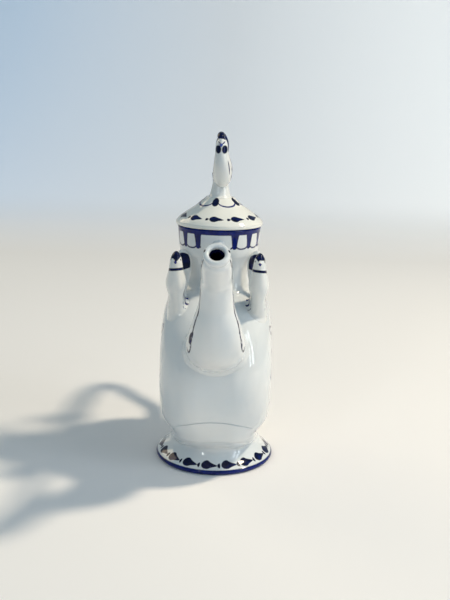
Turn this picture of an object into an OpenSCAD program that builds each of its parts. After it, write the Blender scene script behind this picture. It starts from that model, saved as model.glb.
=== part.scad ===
// Porcelain teapot with a disc-shaped body standing on edge, a trumpet foot, a decorated
// neck, an S-shaped spout, an ear-shaped handle, two shoulder birds and a lid with a bird.
// Millimetres. +Z is up, the spout points along -Y and the handle along +Y.
// The origin is the centre of the foot ring, on the plane the pot stands on.
// The pot and the lid are the two loose pieces; the nodes are the parts that are cast
// apart and luted together, each trimmed with its neighbour so that they meet face to face.

/* [Body] */
// Diameter of the disc
disc_d = 115; // [108:1:120]
// Thickness of the disc across its two painted faces
disc_w = 72.6; // [70:0.2:78]
// Radius of the round between the faces and the edge
disc_round = 26; // [22:0.5:28]
// Height of the centre of the disc above the table
disc_z = 66.5; // [65.5:0.5:69]
// Thickness of the fired walls
wall = 4; // [3:0.25:4.5]

/* [Foot] */
// Diameter of the foot where it stands
foot_d = 81; // [74:1:84]
// Height of the upright edge of the foot
foot_edge = 4; // [3:0.5:5]
// Diameter of the narrowest part of the foot
foot_waist_d = 61.6; // [59:0.2:62]
// Height of the narrowest part of the foot
foot_waist_z = 12; // [11:0.5:13]
// Width of the cup that holds the disc, across its flattened flanks
foot_flank = 62.6; // [62.2:0.2:64]
// Height to which the cup climbs the front and back of the disc
foot_cup_z = 42; // [36:1:45]
// How much lower the cup ends at its flanks than at its middle
foot_arch = 7; // [4:0.5:9]
// How far the cup stands proud of the disc
foot_cup_t = 1; // [0.8:0.1:1.5]

/* [Neck] */
// Diameter of the narrowest part of the neck
neck_waist_d = 44; // [42:0.5:46]
// Height of the narrowest part of the neck
neck_waist_z = 130; // [128:0.5:132]
// Diameter of the lower edge of the collar
collar_d = 50.8; // [49:0.2:53]
// Height of the lower edge of the collar
collar_z = 143; // [141:0.5:146]
// Diameter of the mouth of the neck
mouth_d = 55; // [54:0.5:57]
// Height of the mouth of the neck
mouth_z = 161.5; // [159.5:0.5:163]
// Bore of the collar, where the lid's flange sits
mouth_bore = 47; // [45.5:0.5:47.5]
// Bore through the waist of the neck into the body
waist_bore = 36; // [32:0.5:37]

/* [Lid] */
// Diameter of the rim of the lid
lid_d = 57.2; // [56:0.2:60]
// Thickness of the rim of the lid
lid_rim = 3; // [2.5:0.25:3.5]
// Height of the dome of the lid above its rim
lid_rise = 15.5; // [14:0.5:17]
// Diameter of the flat top that carries the bird
lid_top_d = 17; // [16:0.5:20]
// Depth of the flange below the rim
flange_h = 9; // [6:0.5:11]
// Clearance between the flange and the bore, all round
lid_gap = 0.5; // [0.3:0.1:0.8]

/* [Spout] */
// Distance of the mouth of the spout in front of the centre of the foot
spout_reach = 109.5; // [106:0.5:114]
// Height of the centre of the mouth of the spout
spout_z = 161.5; // [158:0.5:164]
// Diameter of the rounded lip
lip_d = 15.1; // [14.5:0.1:16.5]
// Diameter of the pouring hole
pour_d = 8.8; // [7:0.2:9.4]
// Width of the belly at the root of the spout
belly_w = 37.6; // [33:0.2:40]
// Width of the tube above the belly
tube_w = 17.6; // [16.6:0.2:19]
// Diameter of each strainer hole in the wall of the body
strainer_d = 4.6; // [4:0.2:5.4]
// Strainer holes round the middle one
strainer_n = 6; // [4:1:7]

/* [Handle] */
// Distance of the corner of the handle behind the centre of the foot
handle_reach = 130.5; // [124:0.5:136]
// Height of the upper limb of the handle
handle_z = 145; // [143:0.5:147]
// Height at which the handle joins the back of the disc
handle_root_z = 64; // [60:1:70]
// Width of the handle across the pot
handle_w = 11.4; // [10:0.2:13]
// Thickness of the handle seen from the side
handle_t = 12.4; // [11:0.2:14]

/* [Birds] */
// Distance between the heads of the two shoulder birds
bird_span = 52; // [50:0.5:54]
// How far the shoulder birds rise above the disc they sit on
bird_rise = 34; // [31:0.5:37]
// Width of the breast of a shoulder bird
bird_w = 13; // [11.8:0.2:13.8]
// Height of the top of the bird on the lid
finial_top = 222; // [218:1:226]
// Width of the breast of the bird on the lid
finial_w = 12.8; // [11.6:0.2:14]

/* [Hidden] */
$fn = 96;
e = 0.01;

disc_r = disc_d / 2;
half_w = disc_w / 2;
flange_r = mouth_bore / 2 - lid_gap;
flange_t = 2.6;
dome_z = mouth_z + lid_rim;
lid_top_z = mouth_z + lid_rim + lid_rise;
porcelain = [0.96, 0.97, 0.98];
cobalt_tint = [0.80, 0.85, 0.95];

// ---- curves -------------------------------------------------------------------------
// A station is [x, y, z, half width, half depth]. Stations are joined by a smooth curve
// that passes through each one.
function smooth(a, b, c, d, t) =
    0.5 * (2 * b + (c - a) * t + (2 * a - 5 * b + 4 * c - d) * t * t
           + (3 * b - a - 3 * c + d) * t * t * t);

function along(s, t) =
    let (n = len(s) - 1, i = min(floor(t), n - 1))
    smooth(s[max(i - 1, 0)], s[i], s[i + 1], s[min(i + 2, n)], t - i);

// Unit normal of the section at t, in the upright plane of the path
function lean(s, t) =
    let (n = len(s) - 1, h = 0.05,
         p = along(s, max(t - h, 0)), q = along(s, min(t + h, n)),
         dy = q[1] - p[1], dz = q[2] - p[2], l = norm([dy, dz]))
    [0, dz / l, -dy / l];

// One ring of a section: k is 1 for an ellipse and less for a squarer strap
function ring(s, t, sides, inset, k) =
    let (c = along(s, t), v = lean(s, t))
    [for (j = [0:sides - 1])
        let (a = 360 * j / sides,
             u = sign(cos(a)) * pow(abs(cos(a)), k) * (c[3] - inset),
             w = sign(sin(a)) * pow(abs(sin(a)), k) * (c[4] - inset))
        [c[0] + u, c[1] + w * v[1], c[2] + w * v[2]]];

function spread(s, steps) = [for (i = [0:steps]) i * (len(s) - 1) / steps];

// Skin over a list of rings: open rings get end faces, a loop of rings closes on itself
module skin(rings, loop = false) {
    m = len(rings);
    n = len(rings[0]);
    last = loop ? m - 1 : m - 2;
    sides = [for (i = [0:last]) for (j = [0:n - 1])
        let (a = i * n + j, b = i * n + (j + 1) % n,
             c = ((i + 1) % m) * n + j, d = ((i + 1) % m) * n + (j + 1) % n)
        each [[a, c, b], [b, c, d]]];
    ends = loop ? [] : [[for (j = [0:n - 1]) j],
                        [for (j = [n - 1:-1:0]) (m - 1) * n + j]];
    polyhedron(points = [for (r = rings) each r], faces = concat(sides, ends),
               convexity = 6);
}

module limb(s, steps, sides = 20, k = 1) {
    skin([for (t = spread(s, steps)) ring(s, t, sides, 0, k)]);
}

// ---- body ---------------------------------------------------------------------------
// Half outline of the disc, its axis on the Y axis of the sketch
module disc_outline(inset) {
    r = disc_r - inset;
    h = half_w - inset;
    q = disc_round - inset;
    translate([0, -h]) square([r - q, 2 * h]);
    translate([0, q - h]) square([r, 2 * (h - q)]);
    for (side = [-1, 1])
        intersection() {
            translate([r - q, side * (h - q)]) circle(q);
            translate([r - q - e, side > 0 ? h - q - e : -h])
                square([q + e, q + e]);
        }
}

module disc_solid(inset = 0) {
    translate([0, 0, disc_z])
        rotate([0, 90, 0])
            rotate_extrude() disc_outline(inset);
}

// Direction from the middle of the disc to the middle of the strainer, in degrees
strainer_rise = asin(27 / disc_r);

module strainer_holes() {
    translate([0, 0, disc_z])
        rotate([90 - strainer_rise, 0, 0])
            translate([0, 0, disc_r - 4 * wall]) {
                cylinder(d = strainer_d, h = 8 * wall);
                for (i = [0:strainer_n - 1])
                    rotate(i * 360 / strainer_n + 90)
                        translate([1.75 * strainer_d, 0, 0])
                            cylinder(d = strainer_d, h = 8 * wall);
            }
}

module body_shell() {
    color(porcelain)
        difference() {
            disc_solid();
            disc_solid(wall);
            translate([0, 0, disc_z + disc_r - 3 * wall])
                cylinder(d = waist_bore, h = 4 * wall);
            strainer_holes();
        }
}

// ---- foot ---------------------------------------------------------------------------
// Radius of the arc that leaves the waist upright and passes through a point
// dr outside it and dz above or below it
function flare(dr, dz) = (dr * dr + dz * dz) / (2 * dr);

// The stem: a trumpet below the waist and a shallow flare above it
module foot_outline(inset, low) {
    rw = foot_waist_d / 2 - inset;
    re = foot_d / 2 - 1.2 - inset;
    rc = rw + 9;
    lower = flare(re - rw, foot_waist_z - foot_edge);
    upper = flare(9, 13);
    difference() {
        polygon([[0, low], [re - 0.1, low], [re - 0.1, foot_waist_z],
                 [rc - 0.1, foot_waist_z], [rc - 0.1, foot_waist_z + 13],
                 [0, foot_waist_z + 13]]);
        intersection() {
            translate([rw + lower, foot_waist_z]) circle(lower);
            translate([0, foot_edge]) square([re + lower, foot_waist_z - foot_edge]);
        }
        intersection() {
            translate([rw + upper, foot_waist_z]) circle(upper);
            translate([0, foot_waist_z]) square([rw + upper, upper + 1]);
        }
    }
}

// The cup: a thin skin over the bottom of the disc, with an arched upper edge
module foot_cup() {
    rise = foot_flank * foot_flank / (8 * foot_arch) + foot_arch / 2;
    intersection() {
        disc_solid(-foot_cup_t);
        translate([-foot_flank / 2, -disc_r - 5, 0]) cube([foot_flank, disc_d + 10, disc_z]);
        translate([0, disc_d, foot_cup_z - rise])
            rotate([90, 0, 0]) cylinder(r = rise, h = 2 * disc_d);
    }
}

// The hollow under the foot: the stem less its wall, closing in as a cone at the rim
module foot_hollow() {
    rw = foot_waist_d / 2 - wall - 0.5;
    re = foot_d / 2 - 1.7 - wall;
    intersection() {
        foot_outline(wall + 0.5, -1);
        polygon([[0, -1], [re, -1], [re, 0], [rw, foot_waist_z - foot_edge + 1],
                 [rw + 10, foot_waist_z + 14], [0, foot_waist_z + 14]]);
    }
}

module foot_edge_ring() {
    rotate_extrude() {
        translate([foot_d / 2 - 2 * wall, 0]) square([2 * wall - foot_edge / 2, foot_edge]);
        translate([foot_d / 2 - foot_edge / 2, foot_edge / 2]) circle(d = foot_edge);
    }
}

module foot() {
    color(porcelain)
        difference() {
            union() {
                difference() {
                    rotate_extrude() foot_outline(0, 0);
                    for (side = [-1, 1])
                        translate([side * (foot_flank / 2 + 10) - 10, -disc_r, foot_waist_z])
                            cube([20, disc_d, 20]);
                }
                foot_edge_ring();
                foot_cup();
            }
            rotate_extrude() foot_hollow();
            disc_solid();
        }
}

// ---- neck ---------------------------------------------------------------------------
neck_base_z = disc_z + disc_r - 11;
neck_base_r = neck_waist_d / 2 + 6.5;

module neck_outline() {
    rw = neck_waist_d / 2;
    rc = collar_d / 2;
    low = flare(neck_base_r - rw, neck_waist_z - neck_base_z);
    up = flare(rc - rw, collar_z - neck_waist_z);
    difference() {
        polygon([[0, neck_base_z], [neck_base_r - 0.3, neck_base_z],
                 [neck_base_r - 0.3, neck_waist_z], [rc + 0.3, neck_waist_z],
                 [rc + 0.3, collar_z + 1.2], [mouth_d / 2, mouth_z - 1.2],
                 [mouth_d / 2 - 0.6, mouth_z], [0, mouth_z]]);
        intersection() {
            translate([rw + low, neck_waist_z]) circle(low);
            translate([0, neck_base_z - 20]) square([rw + low, neck_waist_z - neck_base_z + 20]);
        }
        intersection() {
            translate([rw + up, neck_waist_z]) circle(up);
            translate([0, neck_waist_z]) square([rw + up, up + 1]);
        }
    }
}

module neck_solid() {
    rotate_extrude() neck_outline();
}

module neck() {
    color(cobalt_tint)
        difference() {
            neck_solid();
            disc_solid();
            translate([0, 0, neck_base_z - 1])
                cylinder(d = waist_bore, h = mouth_z);
            translate([0, 0, mouth_z - flange_h - 5])
                cylinder(d = mouth_bore, h = flange_h + 6);
            translate([0, 0, mouth_z - flange_h - 5 - (mouth_bore - waist_bore) / 2])
                cylinder(d1 = waist_bore, d2 = mouth_bore,
                         h = (mouth_bore - waist_bore) / 2 + e);
        }
}

// ---- spout --------------------------------------------------------------------------
// The spout leaves the front of the disc as a wide belly and rises to a narrow tube
front = disc_r;
mouth_tilt = 44;
spout_path = [
    [0, -front + 16, disc_z + 22, belly_w / 2 - 2.4, 13],
    [0, -front + 3, disc_z + 25, belly_w / 2 - 0.2, 14.4],
    [0, -front - 7, disc_z + 32.5, belly_w / 2 - 0.8, 14.4],
    [0, -front - 13.5, disc_z + 46, (belly_w + tube_w) / 4 + 0.6, 13],
    [0, -front - 17.5, disc_z + 59, tube_w / 2 + 1.7, 11.4],
    [0, -(front + 16 + spout_reach) / 2 + 9.5, spout_z - 21, tube_w / 2 + 0.6, 10],
    [0, -spout_reach + 14.6, spout_z - 12.2, tube_w / 2, 8.8],
    [0, -spout_reach + 4.6, spout_z - 4.5, tube_w / 2 - 0.5, 8.1],
    [0, -spout_reach + 1.2 * cos(mouth_tilt), spout_z - 1.2 * sin(mouth_tilt),
     lip_d / 2, lip_d / 2 - 0.2]];

lip = (lip_d - pour_d) / 4;
spout_steps = 30;
spout_turns = spread(spout_path, spout_steps);

// Wall of the spout at t: the full wall at the root and the thick lip at the mouth
function spout_wall(t) =
    let (n = len(spout_path) - 1) wall - 0.6 + (2 * lip - wall + 0.6) * pow(t / n, 4);

module spout_solid() {
    skin([for (t = spout_turns) ring(spout_path, t, 28, 0, 1)]);
}

// Outside up to the lip, round the lip, and back down the channel, closed on itself
module spout_tube() {
    n = len(spout_path) - 1;
    v = lean(spout_path, n);
    out = [0, v[2], -v[1]];
    outer = [for (t = spout_turns) ring(spout_path, t, 28, 0, 1)];
    edge = [for (a = [30:30:150])
        let (r = ring(spout_path, n, 28, lip * (1 - cos(a)), 1))
        [for (p = r) p - out * lip * 0.9 * sin(a)]];
    inner = [for (i = [len(spout_turns) - 1:-1:0])
        ring(spout_path, spout_turns[i], 28, spout_wall(spout_turns[i]), 1)];
    skin(concat(outer, edge, inner), loop = true);
}

module spout() {
    color(porcelain)
        difference() {
            spout_tube();
            disc_solid();
        }
}

// A short bar that ties the spout to the collar
module spout_bridge() {
    color(porcelain)
        difference() {
            translate([0, 0, collar_z + 5])
                rotate([90, 0, 0])
                    intersection() {
                        translate([2.6, 0, 0]) cylinder(r = 6.4, h = front + 24);
                        translate([-2.6, 0, 0]) cylinder(r = 6.4, h = front + 24);
                    }
            neck_solid();
            spout_solid();
            translate([-20, -front - 60, collar_z - 20])
                cube([40, 40 - 0.5, 50]);
        }
}

// ---- handle -------------------------------------------------------------------------
drop = handle_z - handle_root_z;
handle_path = [
    [0, collar_d / 2 - 5, handle_z - 1, handle_w / 2 + 0.6, handle_t / 2 + 0.4],
    [0, 46, handle_z, handle_w / 2, handle_t / 2],
    [0, 72, handle_z - 1.5, handle_w / 2, handle_t / 2],
    [0, handle_reach - 34, handle_z - 3.5, handle_w / 2, handle_t / 2],
    [0, handle_reach - 14, handle_z - 10, handle_w / 2, handle_t / 2],
    [0, handle_reach - 6.4, handle_z - 21, handle_w / 2, handle_t / 2],
    [0, handle_reach - 12, handle_z - 34, handle_w / 2, handle_t / 2],
    [0, handle_reach - 26, handle_z - 0.6 * drop, handle_w / 2, handle_t / 2],
    [0, handle_reach - 40, handle_z - 0.8 * drop, handle_w / 2, handle_t / 2],
    [0, handle_reach - 55, handle_root_z + 3.5, handle_w / 2, handle_t / 2],
    [0, disc_r - 10, handle_root_z, handle_w / 2 + 1, handle_t / 2 + 1]];

// Small thumb scroll under the upper limb
scroll_path = [
    [0, 44, handle_z - 3, 4.2, 4.4],
    [0, 52, handle_z - 8, 3.6, 3.6],
    [0, 57.5, handle_z - 13, 2.6, 2.8],
    [0, 58.5, handle_z - 17.5, 1.2, 1.4]];

// Thumb rest that stands up from the handle behind the lid
rest_path = [
    [0, 56, handle_z - 2, 5.2, 6.4],
    [0, 53.5, handle_z + 8, 5, 6],
    [0, 49.5, handle_z + 19, 4.6, 5.6],
    [0, 44.5, handle_z + 29, 4, 5],
    [0, 40.5, handle_z + 35.5, 2.6, 3.2],
    [0, 38.8, handle_z + 38, 0.8, 1]];

module handle() {
    color(porcelain)
        difference() {
            union() {
                limb(handle_path, 44, 20, 0.8);
                limb(scroll_path, 8, 12);
                limb(rest_path, 12, 16);
            }
            neck_solid();
            disc_solid();
        }
}

// ---- shoulder birds -----------------------------------------------------------------
// Each bird leans forward over the shoulder, with its tail fan upright behind it
bird_seat = 30;
bird_z = disc_z + sqrt(disc_r * disc_r - bird_seat * bird_seat) + bird_rise - 149.6;
bird_path = [
    [0, -22, bird_z + 99, bird_w * 0.40, 7],
    [0, -25.5, bird_z + 107.5, bird_w * 0.47, 8.2],
    [0, -29, bird_z + 115, bird_w * 0.45, 8.2],
    [0, -33.5, bird_z + 122, bird_w * 0.40, 8],
    [0, -37, bird_z + 129.5, bird_w * 0.50, 8.4],
    [0, -39.3, bird_z + 136.8, bird_w * 0.375, 6.5],
    [0, -39.9, bird_z + 141, bird_w * 0.32, 5.3],
    [0, -39.7, bird_z + 145.4, bird_w * 0.26, 4.5],
    [0, -39, bird_z + 148.4, bird_w * 0.15, 2.9],
    [0, -38.7, bird_z + 149.6, bird_w * 0.06, 1.2]];
fan_path = [
    [-1.2, -25, bird_z + 106, bird_w * 0.25, 4],
    [-1.8, -21.8, bird_z + 117, bird_w * 0.26, 2.8],
    [-2.6, -19.6, bird_z + 127, bird_w * 0.36, 2.1],
    [-3, -18.2, bird_z + 136, bird_w * 0.45, 1.8],
    [-3, -17.4, bird_z + 142.5, bird_w * 0.40, 1.6],
    [-2.8, -17, bird_z + 147, bird_w * 0.12, 0.9]];

module shoulder_bird() {
    difference() {
        translate([bird_span / 2, 0, 0]) {
            limb(bird_path, 26, 18);
            limb(fan_path, 14, 14);
            translate([0, -43, bird_z + 144])
                rotate([100, 0, 0]) cylinder(r1 = 1.7, r2 = 0.5, h = 4);
        }
        disc_solid();
        neck_solid();
    }
}

module right_bird() {
    color(cobalt_tint) shoulder_bird();
}

module left_bird() {
    color(cobalt_tint) mirror([1, 0, 0]) shoulder_bird();
}

// ---- lid ----------------------------------------------------------------------------
module dome_outline() {
    r = lid_d / 2;
    polygon([[0, mouth_z], [r - 0.5, mouth_z], [r, mouth_z + 0.6], [r, dome_z - 0.6],
             [r - 0.7, dome_z + 0.2],
             [r * 0.93, dome_z + lid_rise * 0.11], [r * 0.755, dome_z + lid_rise * 0.35],
             [r * 0.56, dome_z + lid_rise * 0.59], [r * 0.43, dome_z + lid_rise * 0.79],
             [lid_top_d / 2 + 1.1, lid_top_z - 1.1], [lid_top_d / 2, lid_top_z],
             [0, lid_top_z]]);
}

module dome_hollow() {
    r = lid_d / 2;
    polygon([[0, mouth_z - 1], [flange_r - flange_t, mouth_z - 1],
             [flange_r - flange_t, dome_z + 1.4], [r * 0.49, dome_z + lid_rise * 0.39],
             [r * 0.33, dome_z + lid_rise * 0.61],
             [lid_top_d / 2 - 2.5, lid_top_z - wall], [0, lid_top_z - wall]]);
}

module lid_dome() {
    color(porcelain)
        rotate_extrude()
            difference() {
                dome_outline();
                dome_hollow();
            }
}

module lid_flange() {
    color(porcelain)
        translate([0, 0, mouth_z - flange_h])
            difference() {
                cylinder(r = flange_r, h = flange_h);
                translate([0, 0, -1]) cylinder(r = flange_r - flange_t, h = flange_h + 2);
            }
}

// ---- bird on the lid ----------------------------------------------------------------
fz = finial_top - 44;
finial_path = [
    [0, 33, fz + 40.5, finial_w * 0.16, 1.8],
    [0, 31.5, fz + 35, finial_w * 0.34, 4.4],
    [0, 24, fz + 25, finial_w * 0.36, 5.6],
    [0, 11, fz + 18, finial_w * 0.42, 7.4],
    [0, -3, fz + 17, finial_w * 0.49, 9.2],
    [0, -11.5, fz + 23, finial_w * 0.46, 8.4],
    [0, -14, fz + 31.5, finial_w * 0.33, 5.8],
    [0, -14, fz + 37, finial_w * 0.28, 4.8],
    [0, -13.5, fz + 41, finial_w * 0.12, 2.2]];

comb_path = [
    [0, -19, fz + 37.5, 0.9, 1],
    [0, -17, fz + 41, 1.5, 2],
    [0, -12.5, fz + 41.6, 1.6, 2.4],
    [0, -8, fz + 38, 1, 1.4]];

module finial_bird() {
    color(cobalt_tint)
        union() {
            limb(finial_path, 28, 18);
            limb(comb_path, 8, 12);
            translate([0, -18, fz + 34.5])
                rotate([100, 0, 0]) cylinder(r1 = 2.2, r2 = 0.5, h = 5.5);
            translate([0, 0, lid_top_z])
                cylinder(d1 = lid_top_d - 2.4, d2 = finial_w - 2.4,
                         h = fz + 14 - lid_top_z);
        }
}

body_shell();
foot();
neck();
spout();
spout_bridge();
handle();
left_bird();
right_bird();
lid_dome();
lid_flange();
finial_bird();
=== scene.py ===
# White porcelain teapot with cobalt painting: a disc body on a trumpet foot, an S-shaped
# spout, an ear handle, two shoulder birds and a lid whose knob is a crested bird.
# Shapes are worked out in millimetres and turned into metres when a mesh is made.
import math

import bmesh
import bpy
import numpy as np
from mathutils import Matrix, Vector


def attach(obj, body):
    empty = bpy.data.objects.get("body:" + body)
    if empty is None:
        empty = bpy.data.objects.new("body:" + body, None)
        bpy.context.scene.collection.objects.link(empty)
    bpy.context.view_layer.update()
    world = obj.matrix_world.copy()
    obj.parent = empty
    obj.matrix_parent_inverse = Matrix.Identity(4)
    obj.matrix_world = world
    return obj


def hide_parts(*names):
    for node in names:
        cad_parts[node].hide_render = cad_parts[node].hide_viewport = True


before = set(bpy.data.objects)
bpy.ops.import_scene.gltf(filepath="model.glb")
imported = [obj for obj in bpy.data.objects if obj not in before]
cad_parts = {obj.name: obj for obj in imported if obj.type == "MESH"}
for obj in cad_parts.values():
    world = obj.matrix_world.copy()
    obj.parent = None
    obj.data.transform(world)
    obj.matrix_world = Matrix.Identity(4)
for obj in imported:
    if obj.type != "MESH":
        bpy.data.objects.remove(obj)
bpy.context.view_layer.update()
MM = 0.001
# distance, in millimetres, from the edge of the paint; further out there is bare glaze
LIMIT = 2.5
BARE = -LIMIT

# ---- sizes shared by the pieces, in millimetres ----------
DISC_R, DISC_HALF, DISC_ROUND, DISC_Z, WALL = 57.5, 36.3, 26.0, 66.5, 4.0
FOOT_R, FOOT_EDGE, WAIST_Z, FLANK, CUP_Z, ARCH = 40.5, 4, 12, 31.3, 42, 10
NECK_WAIST_R, NECK_WAIST_Z, COLLAR_R, COLLAR_Z, MOUTH_R, MOUTH_Z = 22, 130, 25.4, 143, 27.5, 161.5
BORE_R, THROAT_R = 23.5, 18.0
LID_R, LID_RIM, LID_RISE, LID_TOP_R, FLANGE_H = 28.6, 3.0, 15.5, 8.5, 9.0
LIP_R, POUR_R, SPOUT_Y, SPOUT_Z = 7.55, 4.4, -109.5, 161.5
STRAINER_R, STRAINER_RING, STRAINER_RISE = 2.3, 8.05, 27
LATHE_SIDES, FOOT_SIDES = 300, 420
# how often each drawing repeats round its ring
FOOT_DROPS, COLLAR_PETALS, LID_DROPS, LID_ARCS = 17, 15, 11, 5


# ---- curves and skins ------------------------------------
def along(stations, count):
    """That many points, evenly timed, on the smooth curve through the stations."""
    s = np.asarray(stations, float)
    n = len(s) - 1
    u = np.clip(np.linspace(0, 1, count) * n, 0, n - 1e-9)
    i = np.floor(u).astype(int)
    f = (u - i)[:, None]
    a, b, c, d = s[np.maximum(i - 1, 0)], s[i], s[i + 1], s[np.minimum(i + 2, n)]
    return 0.5 * (2 * b + (c - a) * f + (2 * a - 5 * b + 4 * c - d) * f * f
                  + (3 * b - a - 3 * c + d) * f ** 3)


def lean(c):
    """Unit normals of the sections along a path, in its upright plane."""
    d = np.gradient(c[:, 1:3], axis=0)
    d /= np.linalg.norm(d, axis=1)[:, None]
    return np.stack([np.zeros(len(d)), d[:, 1], -d[:, 0]], 1)


def rings_along(c, v, sides, inset=0.0):
    """Rings of points round a path; c holds x, y, z, half width and half depth."""
    a = np.linspace(0, 2 * np.pi, sides, endpoint=False)
    half = c[:, 3:] - np.broadcast_to(inset, len(c))[:, None]
    p = c[:, None, :3] + (half[:, 1:] * np.sin(a))[..., None] * v[:, None]
    p[..., 0] += half[:, :1] * np.cos(a)
    return p


def swept(stations, count, sides):
    """Rings along the smooth path through the stations."""
    c = along(stations, count)
    return rings_along(c, lean(c), sides)


def spun(profile, sides):
    """Rings made by turning a profile of radius and height about the Z axis."""
    a = np.linspace(0, 2 * np.pi, sides, endpoint=False)
    r, z = np.asarray(profile, float).T[..., None]
    return np.stack([r * np.cos(a), r * np.sin(a), z + 0 * a], 2)


def fine(profile, step, closed=False):
    """The same outline with a point at least every step."""
    p = np.asarray(profile, float)
    if closed:
        p = np.vstack([p, p[:1]])
    out = [p[:1]]
    for a, b in zip(p[:-1], p[1:]):
        k = max(1, int(math.ceil(np.linalg.norm(b - a) / step)))
        out.append(a + (b - a) * np.linspace(0, 1, k + 1)[1:, None])
    out = np.vstack(out)
    return out[:-1] if closed else out


def arc(cx, cy, r, a0, a1, n):
    """Points on a circle from one angle to another, in degrees."""
    a = np.radians(np.linspace(a0, a1, n))
    return np.stack([cx + r * np.cos(a), cy + r * np.sin(a)], 1)


def outward(rings):
    """Normals of a grid of rings."""
    dj = np.roll(rings, -1, 1) - np.roll(rings, 1, 1)
    n = np.cross(np.gradient(rings, axis=0), dj)
    n /= np.maximum(np.linalg.norm(n, axis=2), 1e-9)[..., None]
    return -n if ((rings - rings.mean(1, keepdims=True)) * n).sum() < 0 else n


# ---- pieces ----------------------------------------------
def linked(name, data):
    """A new object of the scene that holds the data."""
    obj = bpy.data.objects.new(name, data)
    bpy.context.scene.collection.objects.link(obj)
    return obj


def smooth(mesh):
    mesh.polygons.foreach_set("use_smooth", [True] * len(mesh.polygons))


def grid_mesh(name, parts):
    """A mesh from grids of rings; each grid is open with end faces, or a closed loop."""
    verts, faces, base = [], [], 0
    for rings, loop in parts:
        m, n = rings.shape[:2]
        verts.append(rings.reshape(-1, 3))
        for i in range(m if loop else m - 1):
            a, b = base + i * n, base + ((i + 1) % m) * n
            faces += [(a + j, a + (j + 1) % n, b + (j + 1) % n, b + j) for j in range(n)]
        if not loop:
            faces += [tuple(range(base + n - 1, base - 1, -1)),
                      tuple(range(base + (m - 1) * n, base + m * n))]
        base += m * n
    mesh = bpy.data.meshes.new(name)
    mesh.from_pydata((np.vstack(verts) * MM).tolist(), [], faces)
    return mesh


def mesh_piece(name, parts, body, nodes):
    """One piece of the pot or the lid, with its doubled points welded and its faces outwards."""
    mesh = grid_mesh(name, parts)
    bm = bmesh.new()
    bm.from_mesh(mesh)
    bmesh.ops.remove_doubles(bm, verts=bm.verts, dist=1e-6)
    bmesh.ops.recalc_face_normals(bm, faces=bm.faces)
    bm.to_mesh(mesh)
    bm.free()
    return settle(linked(name, mesh), body, nodes)


def settle(obj, body, nodes):
    """Tie a piece to its body, in place of the nodes that it stands for."""
    smooth(obj.data)
    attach(obj, body)
    if nodes:
        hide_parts(*nodes)
    return obj


def points_of(obj):
    """The points of a mesh, in millimetres."""
    p = np.empty(len(obj.data.vertices) * 3)
    obj.data.vertices.foreach_get("co", p)
    return p.reshape(-1, 3) / MM


def put_points(obj, p):
    obj.data.vertices.foreach_set("co", (p * MM).ravel())
    obj.data.update()


def around_z(obj):
    """Points of a piece, their angles from the front and their distances from the Z axis."""
    p = points_of(obj)
    return p, np.arctan2(p[:, 1], p[:, 0]) + np.pi / 2, np.hypot(p[:, 0], p[:, 1])


def baked(obj):
    """The mesh that an object's modifiers give."""
    return bpy.data.meshes.new_from_object(obj.evaluated_get(bpy.context.evaluated_depsgraph_get()))


def discard(obj):
    mesh = obj.data
    bpy.data.objects.remove(obj)
    bpy.data.meshes.remove(mesh)


def finish(obj, glaze, **values):
    """Glaze a piece, and store a number for each of its points under each name."""
    obj.data.materials.clear()
    obj.data.materials.append(glaze)
    for name, v in values.items():
        attr = obj.data.attributes.new(name, "FLOAT", "POINT")
        attr.data.foreach_set("value", np.asarray(v, np.float32))


# ---- distances, for the soft fillets where parts are luted 
def to_disc(p):
    """Signed distance of points to the outside of the disc body."""
    r = np.hypot(p[..., 1], p[..., 2] - DISC_Z) - (DISC_R - DISC_ROUND)
    x = np.abs(p[..., 0]) - (DISC_HALF - DISC_ROUND)
    return (np.hypot(np.maximum(r, 0), np.maximum(x, 0))
            + np.minimum(np.maximum(r, x), 0) - DISC_ROUND)


def fillet(d, reach):
    """How far a skin stands out at a distance from its neighbour."""
    return reach - np.sqrt(np.maximum(reach ** 2 - (reach - np.clip(d, 0, reach)) ** 2, 0))


def flow(rings, field, reach):
    """Flare a skin along its neighbour where the two meet, as slip does in a luted joint."""
    n = outward(rings)
    g = np.stack([field(rings + e) - field(rings - e) for e in np.eye(3) * 0.02], -1) / 0.04
    n = n - (n * g).sum(-1, keepdims=True) * g
    return rings + n * fillet(field(rings), reach)[..., None]


# ---- brush strokes ---------------------------------------
SHAPES = {
    "leaf": lambda t: np.sin(np.pi * np.clip(t, 0.02, 0.98)) ** 0.75,
    "drop": lambda t: np.where(t < 0.25, 0.75 + t, np.clip(1.33 * (1 - t), 0.04, 1) ** 0.9),
    "line": lambda t: np.full_like(t, 1.0),
    "slab": lambda t: 1 - 0.58 * t,
    "tail": lambda t: np.clip(1 - t, 0.06, 1) ** 0.6,
}


def stroke(pts, width, shape="leaf", tone=(0.85, 0.85), shade=0.0, clean=False, n=12):
    """A brush stroke through the points; tone runs from 0, dilute, to 1, full cobalt."""
    t = np.linspace(0, 1, n)
    a, b = np.asarray(pts[0], float), np.asarray(pts[-1], float)
    p = along(pts, n) if len(pts) > 2 else a + (b - a) * t[:, None]
    return p, SHAPES[shape](t) * width / 2, tone, shade, clean


def dot(x, y, d, tone=0.9):
    """A round touch of the brush."""
    return stroke([(x, y - d * 0.06), (x, y + d * 0.06)], d, "line", (tone, tone), n=2)


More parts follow.
